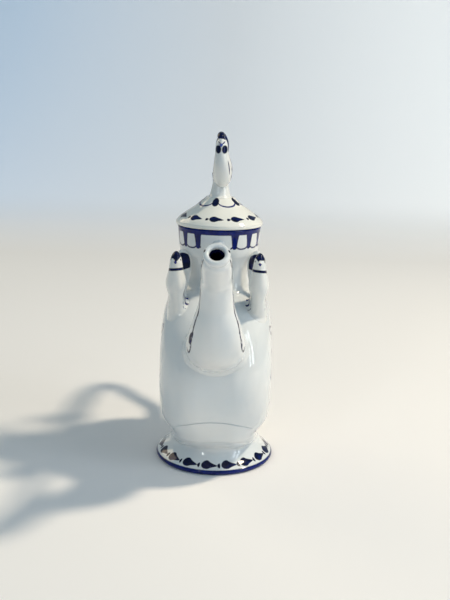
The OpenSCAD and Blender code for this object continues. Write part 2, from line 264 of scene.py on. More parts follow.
def lay(uv, strokes):
    """Signed distance inside the strokes, and their tone, at each point of a flat layout."""
    sd, tone = np.full(len(uv), BARE), np.full(len(uv), 0.7)
    for p, r, (t0, t1), shade, clean in strokes:
        pad = r.max() + LIMIT
        near = np.flatnonzero(((uv > p.min(0) - pad) & (uv < p.max(0) + pad)).all(1))
        if not len(near):
            continue
        q = uv[near]
        best = np.full(len(near), -np.inf)
        at, side = np.zeros(len(near)), np.zeros(len(near))
        m = len(p) - 1
        for k in range(m):
            ab = p[k + 1] - p[k]
            size = ab @ ab + 1e-12
            t = np.clip(((q - p[k]) @ ab) / size, 0, 1)
            v = q - (p[k] + t[:, None] * ab)
            w = r[k] + (r[k + 1] - r[k]) * t
            d = w - np.hypot(v[:, 0], v[:, 1])
            s = (ab[0] * v[:, 1] - ab[1] * v[:, 0]) / (math.sqrt(size) * np.maximum(w, 0.2))
            up = d > best
            best, at, side = np.where(up, d, best), np.where(up, (k + t) / m, at), np.where(up, s, side)
        if clean:
            sd[near] = np.minimum(sd[near], np.where(best > BARE, -best, sd[near]))
            continue
        over = (best > 0) | (best > sd[near])
        new = np.clip(t0 + (t1 - t0) * at + shade * np.clip(side, -1, 1), 0, 1)
        tone[near] = np.where(over, new, tone[near])
        sd[near] = np.maximum(sd[near], best)
    return sd, tone


def folded(angle, n, shift=0.0):
    """Angle within one of n equal sectors, so that one drawing repeats round a ring."""
    w = 2 * np.pi / n
    return (angle - math.radians(shift) + w / 2) % w - w / 2


def layers(first, *more):
    """Layers of paint, each a distance and a tone, one over another."""
    sd, tone = first
    for d, t in more:
        over = d > np.minimum(sd, 0)
        sd, tone = np.maximum(sd, d), np.where(over, t, tone)
    return sd, tone


# ---- materials -------------------------------------------
def feed(tree, node, inputs):
    """Give inputs of a node, by name or place, their values or links."""
    for k, v in inputs.items():
        socket = node.inputs[k]
        if isinstance(v, (bpy.types.NodeSocket, bpy.types.Node)):
            tree.links.new(v.outputs[0] if isinstance(v, bpy.types.Node) else v, socket)
        else:
            socket.default_value = (*v, 1) if socket.type == "RGBA" else v


def node(tree, kind, inputs=None, **settings):
    """A new node with its settings, and its inputs fed."""
    n = tree.nodes.new(kind)
    for k, v in settings.items():
        setattr(n, k, v)
    feed(tree, n, inputs or {})
    return n


def math_node(tree, op, *values, clamp=False):
    return node(tree, "ShaderNodeMath", dict(enumerate(values)), operation=op, use_clamp=clamp)


def linear(tree, value, gain, lift, clamp=False):
    """A value times the gain, plus the lift."""
    return math_node(tree, "MULTIPLY_ADD", value, gain, lift, clamp=clamp)


def noise_node(tree, coords, scale, detail, rough=0.5):
    return node(tree, "ShaderNodeTexNoise", {"Vector": coords, "Scale": scale, "Detail": detail,
                                             "Roughness": rough}).outputs["Fac"]


def ramp_node(tree, fac, stops):
    """Colours for values from 0 to 1, each stop a place and a colour."""
    n = node(tree, "ShaderNodeValToRGB", {0: fac})
    el = n.color_ramp.elements
    while len(el) < len(stops):
        el.new(0.5)
    for e, (pos, col) in zip(el, stops):
        e.position, e.color = pos, (*col, 1)
    return n


def mix_colour(tree, fac, a, b):
    """A mix node has sockets for each kind of data; 6, 7 and 2 are its colours."""
    return node(tree, "ShaderNodeMix", {0: fac, 6: a, 7: b}, data_type="RGBA").outputs[2]


def group(name, ins, outs, kind="ShaderNodeTree"):
    """A node group, the sockets that bring its inputs and the node that takes its outputs."""
    g = bpy.data.node_groups.new(name, kind)
    for way, sockets in (("INPUT", ins), ("OUTPUT", outs)):
        for n, data in sockets.items():
            g.interface.new_socket(name=n, in_out=way, socket_type="NodeSocket" + data)
    return g, g.nodes.new("NodeGroupInput").outputs, g.nodes.new("NodeGroupOutput")


def porcelain_group():
    """Fired body under clear glaze: faint cool pooling, rare specks, a rippled surface."""
    g, i, o = group("Porcelain Glaze", {"Coords": "Vector", "White": "Color", "Pooled": "Color"},
                    {"Colour": "Color", "Height": "Float", "Roughness": "Float"})
    broad = noise_node(g, i["Coords"], 28, 3)
    clouded = mix_colour(g, linear(g, broad, 1.6, -0.4, clamp=True), i["White"], i["Pooled"])
    seed = linear(g, noise_node(g, i["Coords"], 950, 1), 22, -17.6, clamp=True)
    wave = noise_node(g, i["Coords"], 90, 2)
    feed(g, o, {"Colour": mix_colour(g, math_node(g, "MULTIPLY", seed, 0.35), clouded, (0.30, 0.29, 0.28)),
                "Height": linear(g, noise_node(g, i["Coords"], 520, 1), 0.08, wave),
                "Roughness": linear(g, broad, 0.05, 0.06)})
    return g


def brush_group():
    """Cobalt laid with a loaded brush: soft uneven edges, streaks, dark where it pools."""
    g, i, o = group("Cobalt Brush", {"Coords": "Vector", "Ground": "Color", "Inside": "Float",
                                     "Tone": "Float"}, {"Colour": "Color", "Mask": "Float"})
    wobble = linear(g, noise_node(g, i["Coords"], 700, 3, 0.6), 0.24, -0.12)
    mask = linear(g, math_node(g, "ADD", i["Inside"], wobble), 2.6, 0.5, clamp=True)
    streak = linear(g, noise_node(g, i["Coords"], 260, 4, 0.65), 0.55, -0.27)
    # a darker line where the stroke dried at its edge
    rim = math_node(g, "ABSOLUTE", math_node(g, "SUBTRACT", i["Inside"], 0.22))
    rim = linear(g, rim, -3.2, 1.0, clamp=True)
    tone = linear(g, rim, 0.12, math_node(g, "ADD", i["Tone"], streak), clamp=True)
    blue = ramp_node(g, tone, [(0.0, (0.33, 0.44, 0.70)), (0.3, (0.06, 0.13, 0.44)),
                               (0.6, (0.007, 0.020, 0.22)), (1.0, (0.001, 0.003, 0.028))])
    feed(g, o, {"Colour": mix_colour(g, mask, i["Ground"], blue), "Mask": mask})
    return g


GLAZE, BRUSH = porcelain_group(), brush_group()


def new_material(name):
    """A material with its node tree and its main shader."""
    mat = bpy.data.materials.new(name)
    mat.use_nodes = True
    return mat, mat.node_tree, mat.node_tree.nodes["Principled BSDF"]


def porcelain(name, painted=True, white=(0.78, 0.78, 0.765), pooled=(0.68, 0.73, 0.755)):
    """Glazed porcelain; paint shows where a piece stores distances and tones of brush strokes."""
    mat, tree, shader = new_material(name)
    coords = node(tree, "ShaderNodeTexCoord").outputs["Object"]
    base = node(tree, "ShaderNodeGroup", node_tree=GLAZE)
    feed(tree, base, {"Coords": coords, "White": white, "Pooled": pooled})
    bump = node(tree, "ShaderNodeBump", {"Strength": 0.10, "Distance": 0.0012,
                                         "Height": base.outputs["Height"]})
    feed(tree, shader, {
        "Base Color": base, "Roughness": base.outputs["Roughness"], "Normal": bump, "IOR": 1.47,
        "Coat Weight": 0.5, "Coat Roughness": 0.02, "Subsurface Weight": 0.04,
        "Subsurface Radius": (0.0022, 0.0018, 0.0015), "Subsurface Scale": 1.0})
    if painted:
        inside, tone = (node(tree, "ShaderNodeAttribute", attribute_name=k).outputs["Fac"]
                        for k in ("stroke", "tone"))
        brush = node(tree, "ShaderNodeGroup", node_tree=BRUSH)
        feed(tree, brush, {"Coords": coords, "Ground": base, "Inside": inside, "Tone": tone})
        mask = brush.outputs["Mask"]
        feed(tree, shader, {"Base Color": brush, "Specular IOR Level": linear(tree, mask, -0.28, 0.5),
                            "Coat Weight": linear(tree, mask, -0.35, 0.5)})
    return mat


plain_glaze = porcelain("Clear glaze", painted=False)
body_glaze = porcelain("Glaze with painted flower")
band_glaze = porcelain("Glaze with painted band")
bird_glaze = porcelain("Glaze with painted feathers", white=(0.80, 0.79, 0.755),
                       pooled=(0.71, 0.74, 0.745))
# painted sunlight: the lid's glaze is creamier and paler than the pot's, standing for the warm sun that falls
# on the lid
lid_glaze_painted_sun = porcelain("Glaze on the lid", white=(0.86, 0.84, 0.77), pooled=(0.80, 0.80, 0.755))


# ---- drawings --------------------------------------------
def leaf(x0, y0, x1, y1, bend, width):
    """A pointed leaf in two half strokes with a bare rib between them."""
    dx, dy = x1 - x0, y1 - y0
    mx, my = (x0 + x1) / 2 - dy * bend, (y0 + y1) / 2 + dx * bend
    nx, ny = np.array([-dy, dx]) / math.hypot(dx, dy) * width * 0.2
    halves = [stroke([(x0, y0), (mx + s * nx, my + s * ny), (x1, y1)], width * 0.62, "leaf",
                     (0.95, 0.55), shade=0.25 * s) for s in (-1, 1)]
    rib = [(x0, y0), (mx, my), ((mx + 2 * x1) / 3, (my + 2 * y1) / 3)]
    return halves + [stroke(rib, 0.7, "tail", clean=True)]


def curl(x, y, r, a0, turns):
    """A thin tendril that winds in on itself and ends in a dot."""
    a = np.radians(a0 + 360 * turns * np.linspace(0, 1, 9))
    k = r * np.linspace(1, 0.25, 9)
    pts = np.stack([x + k * np.cos(a), y + k * np.sin(a)], 1)
    return [stroke(pts, 1.1, "line", (0.9, 0.8), n=26), dot(*pts[-1], 1.1 * 2.1)]


def rose(x, y, r):
    """A round flower of loaded strokes, dark at the heart and light at the edge."""
    def at(angle, k):
        return x + k * r * math.cos(angle), y + k * r * math.sin(angle)

    out = []
    for ring, (n, rad, w, span, tone) in enumerate(((8, 0.78, 0.50, 30, (0.75, 0.35)),
                                                    (6, 0.47, 0.36, 38, (0.9, 0.5)),
                                                    (4, 0.22, 0.22, 50, (1.0, 0.8)))):
        for k in range(n):
            a = 360 * k / n + ring * 17
            petal = [at(math.radians(a + s * span * 0.5), rad * (1 - 0.1 * abs(s)))
                     for s in (-1, -0.3, 0.4, 1)]
            out.append(stroke(petal, w * r, "leaf", tone, shade=-0.42))
            gap = math.radians(a + 180 / n)
            out.append(stroke([at(gap, rad - w / 2), at(gap, rad + w * 0.62)], 0.055 * r, "tail", clean=True))
    return out + [dot(*at(k, 0.07), 0.07 * r, 1.0) for k in range(6)]


def side_spray():
    """Flower, leaves and tendrils for one face; -x of the drawing is towards the spout."""
    d = rose(1, -2, 17)
    for x1, y1, x0, y0, b, w in ((-32, 19, -15, 7, 0.16, 9), (-38, 2, -17, 0, -0.12, 9),
                                 (-33, -18, -14, -9, 0.14, 9), (33, 17, 17, 6, -0.16, 9),
                                 (39, -2, 19, -3, 0.12, 9), (32, -23, 15, -12, -0.14, 9),
                                 (-12, 36, -6, 15, -0.16, 8), (13, 37, 7, 15, 0.16, 8),
                                 (-11, -37, -5, -19, 0.14, 8), (13, -37, 7, -19, -0.14, 8)):
        d += leaf(x0, y0, x1, y1, b, w)
    for x, y, r, a, t in ((-25, 29, 5.5, 250, 1.1), (26, 29, 5.5, 290, -1.1), (-24, -30, 5.5, 100, -1.1),
                          (26, -32, 5.5, 80, 1.1)):
        d += curl(x, y, r, a, t)
    for k in range(9):
        a = math.radians(64 + k * 6.5)
        d.append(stroke([(24 * math.cos(a), 24 * math.sin(a)), (47 * math.cos(a), 47 * math.sin(a))],
                        0.7, "tail", (0.8, 0.6)))
        d.append(dot(49.5 * math.cos(a), 49.5 * math.sin(a), 1.7))
    return d


# ---- body ------------------------------------------------
def disc_rings(inset, sides, step):
    """The disc, flat on both faces with a rounded rim, turned about the X axis."""
    q, h = DISC_ROUND - inset, DISC_HALF - DISC_ROUND
    r0 = DISC_R - DISC_ROUND
    half = np.vstack([[[0.02, h + q]], [[r0, h + q]], arc(r0, h, q, 90, 0, 40)[1:], [[r0 + q, 0]]])
    half = fine(half, step)
    prof = np.vstack([half, half[::-1][1:] * (1, -1)])
    g = spun(prof, sides)
    return np.stack([g[..., 2], g[..., 1], DISC_Z - g[..., 0]], 2)


def nipped(rings):
    """The throwing draws the body in a little where it meets the foot."""
    k = 1 - 0.08 * np.exp(-((rings[..., 2] - 25) / 8) ** 2)
    return rings * np.stack([k, np.ones_like(k), np.ones_like(k)], -1)


def cylinder_cutter(centre, axis, r, h, sides):
    """Two rings, the ends of a round peg along an axis that is square to X."""
    a = np.linspace(0, 2 * np.pi, sides, endpoint=False)[:, None]
    u = np.cross(axis, (1, 0, 0))
    circle = r * (np.cos(a) * u + np.sin(a) * np.cross(axis, u))
    return np.stack([np.asarray(centre) + circle + np.asarray(axis) * s for s in (-h / 2, h / 2)])


def bore(obj, cutters):
    """Cut round holes through a piece."""
    tool = linked("cutter", grid_mesh("cutter", [(c, False) for c in cutters]))
    mod = obj.modifiers.new("bore", "BOOLEAN")
    mod.operation, mod.solver, mod.object = "DIFFERENCE", "EXACT", tool
    cut = baked(obj)
    obj.modifiers.remove(mod)
    old, obj.data = obj.data, cut
    bpy.data.meshes.remove(old)
    discard(tool)
    smooth(cut)


sides, step = ((400, 0.85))
body = mesh_piece("Disc_body", [(nipped(disc_rings(0, sides, step)), False),
                                (nipped(disc_rings(WALL, 120, 3.0))[::-1], False)],
                  "pot", ["body_shell"])
# the throat under the neck, and seven strainer holes behind the spout
holes = [cylinder_cutter((0, 0, DISC_Z + DISC_R - 4), (0, 0, 1), THROAT_R, 24, 96)]
tilt = math.asin(STRAINER_RISE / DISC_R)
axis = np.array([0, -math.cos(tilt), math.sin(tilt)])
mid = np.array([0, 0, DISC_Z]) + axis * (DISC_R - WALL / 2)
for a, reach in [(0, 0)] + [(math.radians(60 * k + 90), STRAINER_RING) for k in range(6)]:
    offset = np.array([math.cos(a), math.sin(a) * math.sin(tilt), math.sin(a) * math.cos(tilt)])
    holes.append(cylinder_cutter(mid + reach * offset, axis, STRAINER_R, 22, 24))
bore(body, holes)
p = points_of(body)
r = np.hypot(p[:, 1], p[:, 2] - DISC_Z)
flat = DISC_R - DISC_ROUND
# the drawing is laid on the flat face and runs on over the rounded rim
turned = np.arctan2(np.maximum(r - flat, 0), np.maximum(np.abs(p[:, 0]) - DISC_HALF + DISC_ROUND, 1e-6))
unrolled = np.where(r > flat, flat + DISC_ROUND * turned, r)
uv = np.stack([p[:, 1], p[:, 2] - DISC_Z], 1) * (unrolled / np.maximum(r, 1e-6))[:, None]
sd, tone = lay(uv, side_spray())
finish(body, body_glaze, stroke=np.where(to_disc(p) < -WALL / 2, BARE, sd), tone=tone)


# ---- foot ------------------------------------------------
def cup_radius(a, z, off):
    """Distance from the Z axis at which the disc, grown by off, is met at that height."""
    lo = np.zeros(np.broadcast(a, z, off).shape)
    hi = lo + 70.0
    for _ in range(26):
        r = (lo + hi) / 2
        inside = to_disc(np.stack([r * np.cos(a), r * np.sin(a), z + 0 * r], -1)) < off
        lo, hi = np.where(inside, r, lo), np.where(inside, hi, r)
    return lo


FOOT_TOP_R = 38.9
STEM_CURVE = along([(FOOT_TOP_R, 3.9), (37.9, 4.6), (36.4, 5.7), (34.8, 7.1), (33.3, 8.8), (32.0, 10.7),
                    (31.1, 12.8), (31.0, 15.0), (32.0, 18.0), (34.6, 21.5), (38.4, 25.0)], 200)


def stem_radius(z, inset):
    """Outer radius of the trumpet at a height, less an inset."""
    return np.interp(z, STEM_CURVE[:, 1], STEM_CURVE[:, 0]) - inset


def flanked(r, a, limit):
    """Ease a radius into the flat flanks of the cup."""
    x = np.abs(r * np.cos(a))
    soft = x / (1 + (x / limit) ** 16) ** (1 / 16)
    return r * np.where(x > 1e-6, soft / np.maximum(x, 1e-6), 1)


def foot_skin(r, z):
    """Rings of the cup, from the radius at each turn and height."""
    return nipped(np.stack([r * np.cos(turn), r * np.sin(turn), z + 0 * r], 2))


FOOT_WALL = 4.5
turn = np.linspace(0, 2 * np.pi, FOOT_SIDES, endpoint=False)[None]
rise = FLANK ** 2 / (2 * ARCH) + ARCH / 2
across_top = np.minimum(np.abs(cup_radius(turn, 39.0, 1.0) * np.cos(turn)), FLANK)
top_edge = CUP_Z - rise + np.sqrt(rise ** 2 - across_top ** 2)
u = np.linspace(0, 1, 70)[1:, None]
z = WAIST_Z + u * (top_edge - WAIST_Z)
skin_off = 0.28 + 0.72 * np.clip((1 - u) * 2, 0, 1)
stem, cup = stem_radius(z, 0), cup_radius(turn, z, skin_off)
soft = 6.5 * np.clip((1 - u) * 1.6, 0, 1) * np.clip(u * 2.2, 0, 1)
r = 0.5 * (stem + cup + np.sqrt((stem - cup) ** 2 + soft ** 2))
r = r + (flanked(r, turn, FLANK) - r) * np.clip(u * 6, 0, 1)
upper = foot_skin(r, z)
lip_in = upper[-1:] * (0.985, 0.985, 1)
z_low = np.linspace(FOOT_EDGE + 0.05, WAIST_Z, 26)
edge = arc(FOOT_R - FOOT_EDGE / 2, FOOT_EDGE / 2, FOOT_EDGE / 2, -90, 78, 16)
lower = spun(fine(np.vstack([edge, np.stack([stem_radius(z_low, 0), z_low], 1)]), 0.6), FOOT_SIDES)
zi = 13.5 + u[::-3] * (top_edge - 14.5)
cup_in = cup_radius(turn, zi, -2.0)
inner = foot_skin(np.maximum(np.minimum(cup_in, flanked(cup_in, turn, FLANK - 3)),
                             stem_radius(np.minimum(zi, 16), FOOT_WALL) - 0.5), zi)
z_in = np.linspace(WAIST_Z, FOOT_EDGE + 0.1, 14)
under = spun(np.vstack([np.stack([stem_radius(z_in, FOOT_WALL), z_in], 1),
                        [[FOOT_R - 6.0, 1.6], [FOOT_R - 5.8, 0.5], [FOOT_R - 5.2, 0]]]), FOOT_SIDES)
foot = mesh_piece("Trumpet_foot", [(np.concatenate([lower, upper, lip_in, inner, under]), True)],
                  "pot", ["foot"])
p, angle, radius = around_z(foot)
outside = (p[:, 2] < 10) & (radius > stem_radius(np.maximum(p[:, 2], FOOT_EDGE + 0.05), 0) - 1.2)
uv = np.stack([folded(angle, FOOT_DROPS, -3.4) * 37, (FOOT_TOP_R - radius) * 1.22], 1)
drops = [stroke([(-3.6, 3.1), (-0.6, 3.1), (5.0, 2.7)], 6.2, "drop", (1.0, 0.95), 0.05),
         dot(6.6, 2.7, 3.1, 1.0)]
sd, tone = lay(uv, drops)
line = 1.65 - np.abs(p[:, 2] - 1.95)
sd, tone = layers((np.where(radius < FOOT_TOP_R, sd, BARE), tone), (line, 0.8))
finish(foot, band_glaze, stroke=np.where(outside, sd, BARE), tone=tone)

# ---- neck ------------------------------------------------
base_z, base_r = DISC_Z + DISC_R - 11, NECK_WAIST_R + 6.2


def flare(r, z_mid, dr, dz, z):
    """Radii of a round flare that leaves radius r at height z_mid and is dr wider after dz."""
    big = (dr * dr + dz * dz) / (2 * dr)
    return np.stack([r + big - np.sqrt(big ** 2 - (z - z_mid) ** 2), z], 1)


outer = np.vstack([
    flare(NECK_WAIST_R, NECK_WAIST_Z, base_r - NECK_WAIST_R, NECK_WAIST_Z - base_z,
          np.linspace(base_z, NECK_WAIST_Z, 30)),
    flare(NECK_WAIST_R, NECK_WAIST_Z, COLLAR_R - NECK_WAIST_R, COLLAR_Z - NECK_WAIST_Z,
          np.linspace(NECK_WAIST_Z, COLLAR_Z, 20)[1:]),
    [[COLLAR_R + 0.35, COLLAR_Z + 1.2], [COLLAR_R + 0.7, COLLAR_Z + 3], [MOUTH_R - 0.25, MOUTH_Z - 2.2],
     [MOUTH_R, MOUTH_Z - 1.1], [MOUTH_R - 0.25, MOUTH_Z - 0.35], [MOUTH_R - 0.8, MOUTH_Z]]])
inner_wall = np.array([[BORE_R + 0.6, MOUTH_Z], [BORE_R, MOUTH_Z - 0.6], [BORE_R, MOUTH_Z - FLANGE_H - 5],
                       [THROAT_R, MOUTH_Z - FLANGE_H - 10.5], [THROAT_R, base_z]])
skin = flow(spun(fine(outer, 0.7), LATHE_SIDES), to_disc, 2.6)
neck = mesh_piece("Collar_neck", [(np.concatenate([skin, spun(fine(inner_wall, 2.0), LATHE_SIDES)]), True)],
                  "pot", ["neck"])
p, angle, _ = around_z(neck)
# the petals are a little uneven: the hand skips half a petal behind the mouth of the spout
degrees = np.degrees(angle)
skip = 4.3 * (np.clip((degrees + 25) / 40, 0, 1) - np.clip((degrees - 150) / 60, 0, 1))
uv = np.stack([folded(angle - np.radians(skip), COLLAR_PETALS, 6.4) * 26.5, p[:, 2] - MOUTH_Z + 3.4], 1)
scallop = []
for s in (-1, 1):
    scallop += [stroke([(s * 5.2, -6.0), (s * 4.4, -7.6), (s * 2.5, -9.0), (0, -9.3)], 1.0, "line",
                       (0.85, 0.8), n=20),
                stroke([(s * 5.55, 1.6), (s * 5.5, -3.0), (s * 5.3, -8.2)], 6.2, "slab", (0.9, 0.75))]
sd, tone = lay(uv, scallop)
sd = np.where((degrees > -24.5) & (degrees < 16.3), BARE, sd)
band = np.minimum(p[:, 2] - MOUTH_Z + 3.6, MOUTH_Z + 0.2 - p[:, 2])
sd, tone = layers((sd, tone), (np.minimum(band, 2.0), 0.78))
outside = np.arange(len(p)) < skin[..., 0].size
finish(neck, band_glaze, stroke=np.where(outside | (p[:, 2] > MOUTH_Z - 0.4), sd, BARE), tone=tone)

# ---- spout -----------------------------------------------
# where the spout leaves the disc, and its widths at the belly and along the tube
front, belly, tube = DISC_R, 37.6, 17.6
TIP = math.radians(44)
SPOUT_PATH = [
    (0, -front + 16, DISC_Z + 22, belly / 2 - 2.4, 13),
    (0, -front + 3, DISC_Z + 25, belly / 2 - 0.2, 14.4),
    (0, -front - 7, DISC_Z + 32.5, belly / 2 - 0.8, 14.4),
    (0, -front - 13.5, DISC_Z + 46, (belly + tube) / 4 + 0.6, 13),
    (0, -front - 17.5, DISC_Z + 59, tube / 2 + 1.7, 11.4),
    (0, -(front + 16 - SPOUT_Y) / 2 + 9.5, SPOUT_Z - 21, tube / 2 + 0.6, 10),
    (0, SPOUT_Y + 14.6, SPOUT_Z - 12.2, tube / 2, 8.8),
    (0, SPOUT_Y + 4.6, SPOUT_Z - 4.5, tube / 2 - 0.5, 8.1),
    (0, SPOUT_Y + 1.2 * math.cos(TIP), SPOUT_Z - 1.2 * math.sin(TIP), LIP_R, LIP_R - 0.2)]
t = np.linspace(0, 1, 150)
c = along(SPOUT_PATH, len(t))
back = np.hypot(*(c[:, 1:3] - c[-1, 1:3]).T)
v = lean(c)
fwd = np.array([0, v[-1, 2], -v[-1, 1]])
# the last length of the tube is thrown straight, and its lip stands out over a soft groove
near = np.clip((9 - back) / 5, 0, 1)[:, None]
near = near * near * (3 - 2 * near)
c[:, :3] = c[:, :3] * (1 - near) + (c[-1, :3] + fwd * back[:, None]) * near
v = v * (1 - near) + v[-1] * near
v /= np.linalg.norm(v, axis=1)[:, None]
step_up = np.clip((back - 2.6) / 5, 0, 1)
collar_r = LIP_R - 0.12 + 0.7 * step_up * (2 - step_up) - 0.62 * np.exp(-((back - 3.1) / 0.95) ** 2)
c[:, 3:] = c[:, 3:] * (1 - near) + collar_r[:, None] * near
lip = (LIP_R - POUR_R) / 2
wall_at = WALL - 0.6 + (2 * lip - WALL + 0.6) * t ** 4
sides = 96
spout_out = flow(rings_along(c, v, sides), to_disc, 3.6)
lip_rings = []
for a in np.linspace(12, 168, 12):
    ring = rings_along(c[-1:], v[-1:], sides, lip * (1 - math.cos(math.radians(a))))
    lip_rings.append(ring[0] - fwd * lip * 0.9 * math.sin(math.radians(a)))
spout_in = rings_along(c[::-1], v[::-1], sides, wall_at[::-1])
spout = mesh_piece("Spout", [(np.concatenate([spout_out, np.array(lip_rings), spout_in]), True)],
                   "pot", ["spout"])


def on_path(p, c, v):
    """Nearest station of each point: its index, side offset and depth offset."""
    n = np.array([np.argmin(((q - c[:, :3]) ** 2)[:, 1:].sum(1)) for q in p])
    rel = p - c[n, :3]
    return n, rel[:, 0], (rel * v[n]).sum(1)


def lengths_along(path):
    """How far along a path each of its points lies."""
    return np.r_[0, np.cumsum(np.linalg.norm(np.diff(path, axis=0), axis=1))]


length = lengths_along(c[:, :3])
p = points_of(spout)
n, du, dw = on_path(p, c, v)
from_mouth = length[-1] - length[n]
around = np.degrees(np.arctan2(du / c[n, 3], -dw / c[n, 4]))
girth = (c[n, 3] + c[n, 4]) / 2
depth_in = np.hypot(du / c[n, 3], dw / c[n, 4])
# the painted edge swings wider on the right flank than on the left
swing = np.where(around > 0, 9 * np.clip(from_mouth / 45, 0, 1), 3 * np.clip(from_mouth / 70, 0, 1))
uv = np.stack([np.radians(np.abs(around) - swing) * girth, from_mouth], 1)


def girth_at(s):
    """Mean radius of the spout at a distance from its mouth."""
    return np.interp(length[-1] - s, length, (c[:, 3] + c[:, 4]) / 2)


def spout_line(points, width, shape="line", tone=(0.85, 0.85), n=60):
    """A stroke through pairs of an angle from the front and a distance from the mouth."""
    return stroke([(math.radians(a) * girth_at(s), s) for a, s in points], width, shape, tone, n=n)


lines = [
    spout_line([(80, 4), (75, 8), (80, 14), (74, 22), (77, 30), (72, 38), (71, 46), (65, 54), (63, 60),
                (62, 66), (57, 72), (55, 77), (60, 80.5), (68, 79)], 1.1, tone=(0.95, 0.95), n=130),
    spout_line([(83, 9), (77, 16), (71, 23), (76, 31), (68, 40), (69, 48), (62, 55), (66, 62), (57, 68),
                (61, 73), (55, 77)], 0.8, n=110),
    spout_line([(106, -0.2), (100, 1.6), (90, 3.6)], 2.6, "leaf", (1.0, 1.0), n=12),
    spout_line([(112, 12), (118, 20), (112, 28)], 1.6, "leaf", (0.85, 0.7), n=10),
    spout_line([(116, 36), (122, 46), (114, 54)], 1.8, "leaf", (0.85, 0.7), n=10),
]
blob = lay(np.stack([-np.sign(around) * uv[:, 0], uv[:, 1]], 1),
           [spout_line([(63, 67), (66, 71), (63, 75)], 2.6, "leaf", (1.0, 1.0), n=12)])
sd, tone = layers(lay(uv, lines), blob)
# painted shade: the channel is coloured full dark cobalt, since little light gets past the lip
shaded_channel = (depth_in < 1 - 0.55 * wall_at[n] / c[n, 3]) & (from_mouth > 0.9)
sd = np.where(shaded_channel, 2.0, np.where(depth_in > 0.86, sd, BARE))
finish(spout, band_glaze, stroke=sd, tone=np.where(shaded_channel, 1.0, tone))


# ---- strap pieces: handle and bridge ---------------------
def strap_tree():
    """A strap of oval section that follows a path."""
    g, i, o = group("Strap Along Path", {"Path": "Geometry", "Width": "Float", "Thickness": "Float",
                                         "Sections": "Int", "Sides": "Int", "Glaze": "Material"},
                    {"Strap": "Geometry"}, "GeometryNodeTree")
    curve = node(g, "GeometryNodeMeshToCurve", {"Mesh": i["Path"]})
    even = node(g, "GeometryNodeResampleCurve", {"Curve": curve, "Count": i["Sections"]})
    circle = node(g, "GeometryNodeCurvePrimitiveCircle", {"Resolution": i["Sides"], "Radius": 0.5})
    oval = node(g, "ShaderNodeCombineXYZ", {"X": i["Width"], "Y": i["Thickness"], "Z": 1.0})
    section = node(g, "GeometryNodeTransform", {"Geometry": circle, "Scale": oval})
    strap = node(g, "GeometryNodeCurveToMesh", {"Curve": even, "Profile Curve": section, "Fill Caps": True})
    real = node(g, "GeometryNodeRealizeInstances", {"Geometry": strap})
    feed(g, o, {"Strap": node(g, "GeometryNodeSetMaterial", {"Geometry": real, "Material": i["Glaze"]})})
    return g


STRAP = strap_tree()


def strap_along(name, path, width, thickness, sections, sides, glaze):
    """A finished strap along a path of points."""
    mesh = bpy.data.meshes.new(name + "_path")
    mesh.from_pydata((np.asarray(path) * MM).tolist(), [(k, k + 1) for k in range(len(path) - 1)], [])
    rail = linked(name + "_path", mesh)
    mod = rail.modifiers.new("strap", "NODES")
    mod.node_group = STRAP
    ids = [s.identifier for s in STRAP.interface.items_tree if s.in_out == "INPUT"]
    for key, value in zip(ids[1:], (width * MM, thickness * MM, sections, sides, glaze)):
        mod[key] = value
    strap = baked(rail)
    discard(rail)
    return linked(name, strap)


def flow_mesh(obj, field, reach):
    """The same flare for a finished mesh."""
    p = points_of(obj)
    n = np.empty(p.size)
    obj.data.vertex_normals.foreach_get("vector", n)
    put_points(obj, p + n.reshape(-1, 3) * fillet(field(p), reach)[:, None])


def out_of_bore(obj):
    """An end that is luted to the neck stops inside its wall."""
    p, _, r = around_z(obj)
    step = MOUTH_Z - FLANGE_H
    wall = 1.2 + np.interp(p[:, 2], [step - 10.5, step - 5], [THROAT_R, BORE_R])
    p[:, :2] *= np.maximum(wall / np.maximum(r, 1e-6), 1)[:, None]
    put_points(obj, p)


def to_neck(p):
    """Distance of points to the outside of the neck."""
    profile = np.interp(p[..., 2], [115, 120, 130, 143, 148, 161.5], [28, 24.5, 22, 25.4, 26.2, 27.5])
    return np.hypot(p[..., 0], p[..., 1]) - profile


# how far back the handle reaches, the heights of its two ends, its width and its thickness
REACH, HZ, HROOT, HW, HT = 130.5, 145.0, 64.0, 11.4, 12.4
drop = HZ - HROOT
HANDLE_PATH = [(0, COLLAR_R - 5, HZ - 1), (0, 46, HZ), (0, 72, HZ - 1.5), (0, REACH - 34, HZ - 3.5),
               (0, REACH - 14, HZ - 10), (0, REACH - 6.4, HZ - 21), (0, REACH - 12, HZ - 34),
               (0, REACH - 26, HZ - 0.6 * drop), (0, REACH - 40, HZ - 0.8 * drop),
               (0, REACH - 55, HROOT + 3.5), (0, DISC_R - 10, HROOT)]
path = along(HANDLE_PATH, 160)
handle = strap_along("Ear_handle", path, HW, HT, 260, 48, band_glaze)
flow_mesh(handle, to_disc, 3.0)
flow_mesh(handle, to_neck, 2.4)
out_of_bore(handle)
settle(handle, "pot", ["handle"])
p = points_of(handle)
hc = np.concatenate([path, np.full((len(path), 2), 6.0)], 1)
hv = lean(hc)
n, du, dw = on_path(p, hc, hv)
hl = lengths_along(path)
s = hl[n]
uv = np.stack([np.arctan2(np.abs(du), dw) * 6.0, (s - 16) % 13.0], 1)
marks = [stroke([(2.0, 2.0), (5.0, 4.2), (8.4, 9.4)], 2.6, "drop", (0.95, 0.6), 0.2),
         stroke([(3.0, 7.4), (5.2, 9.0), (6.2, 11.8)], 1.2, "drop", (0.85, 0.7)),
         dot(10.4, 4.4, 1.5), stroke([(0.0, 5.0), (0.0, 10.0)], 1.8, "leaf", (0.9, 0.7))]
sd, tone = lay(uv, marks)
finish(handle, band_glaze, stroke=np.where((s < 20) | (s > hl[-1] - 26), BARE, sd), tone=tone)

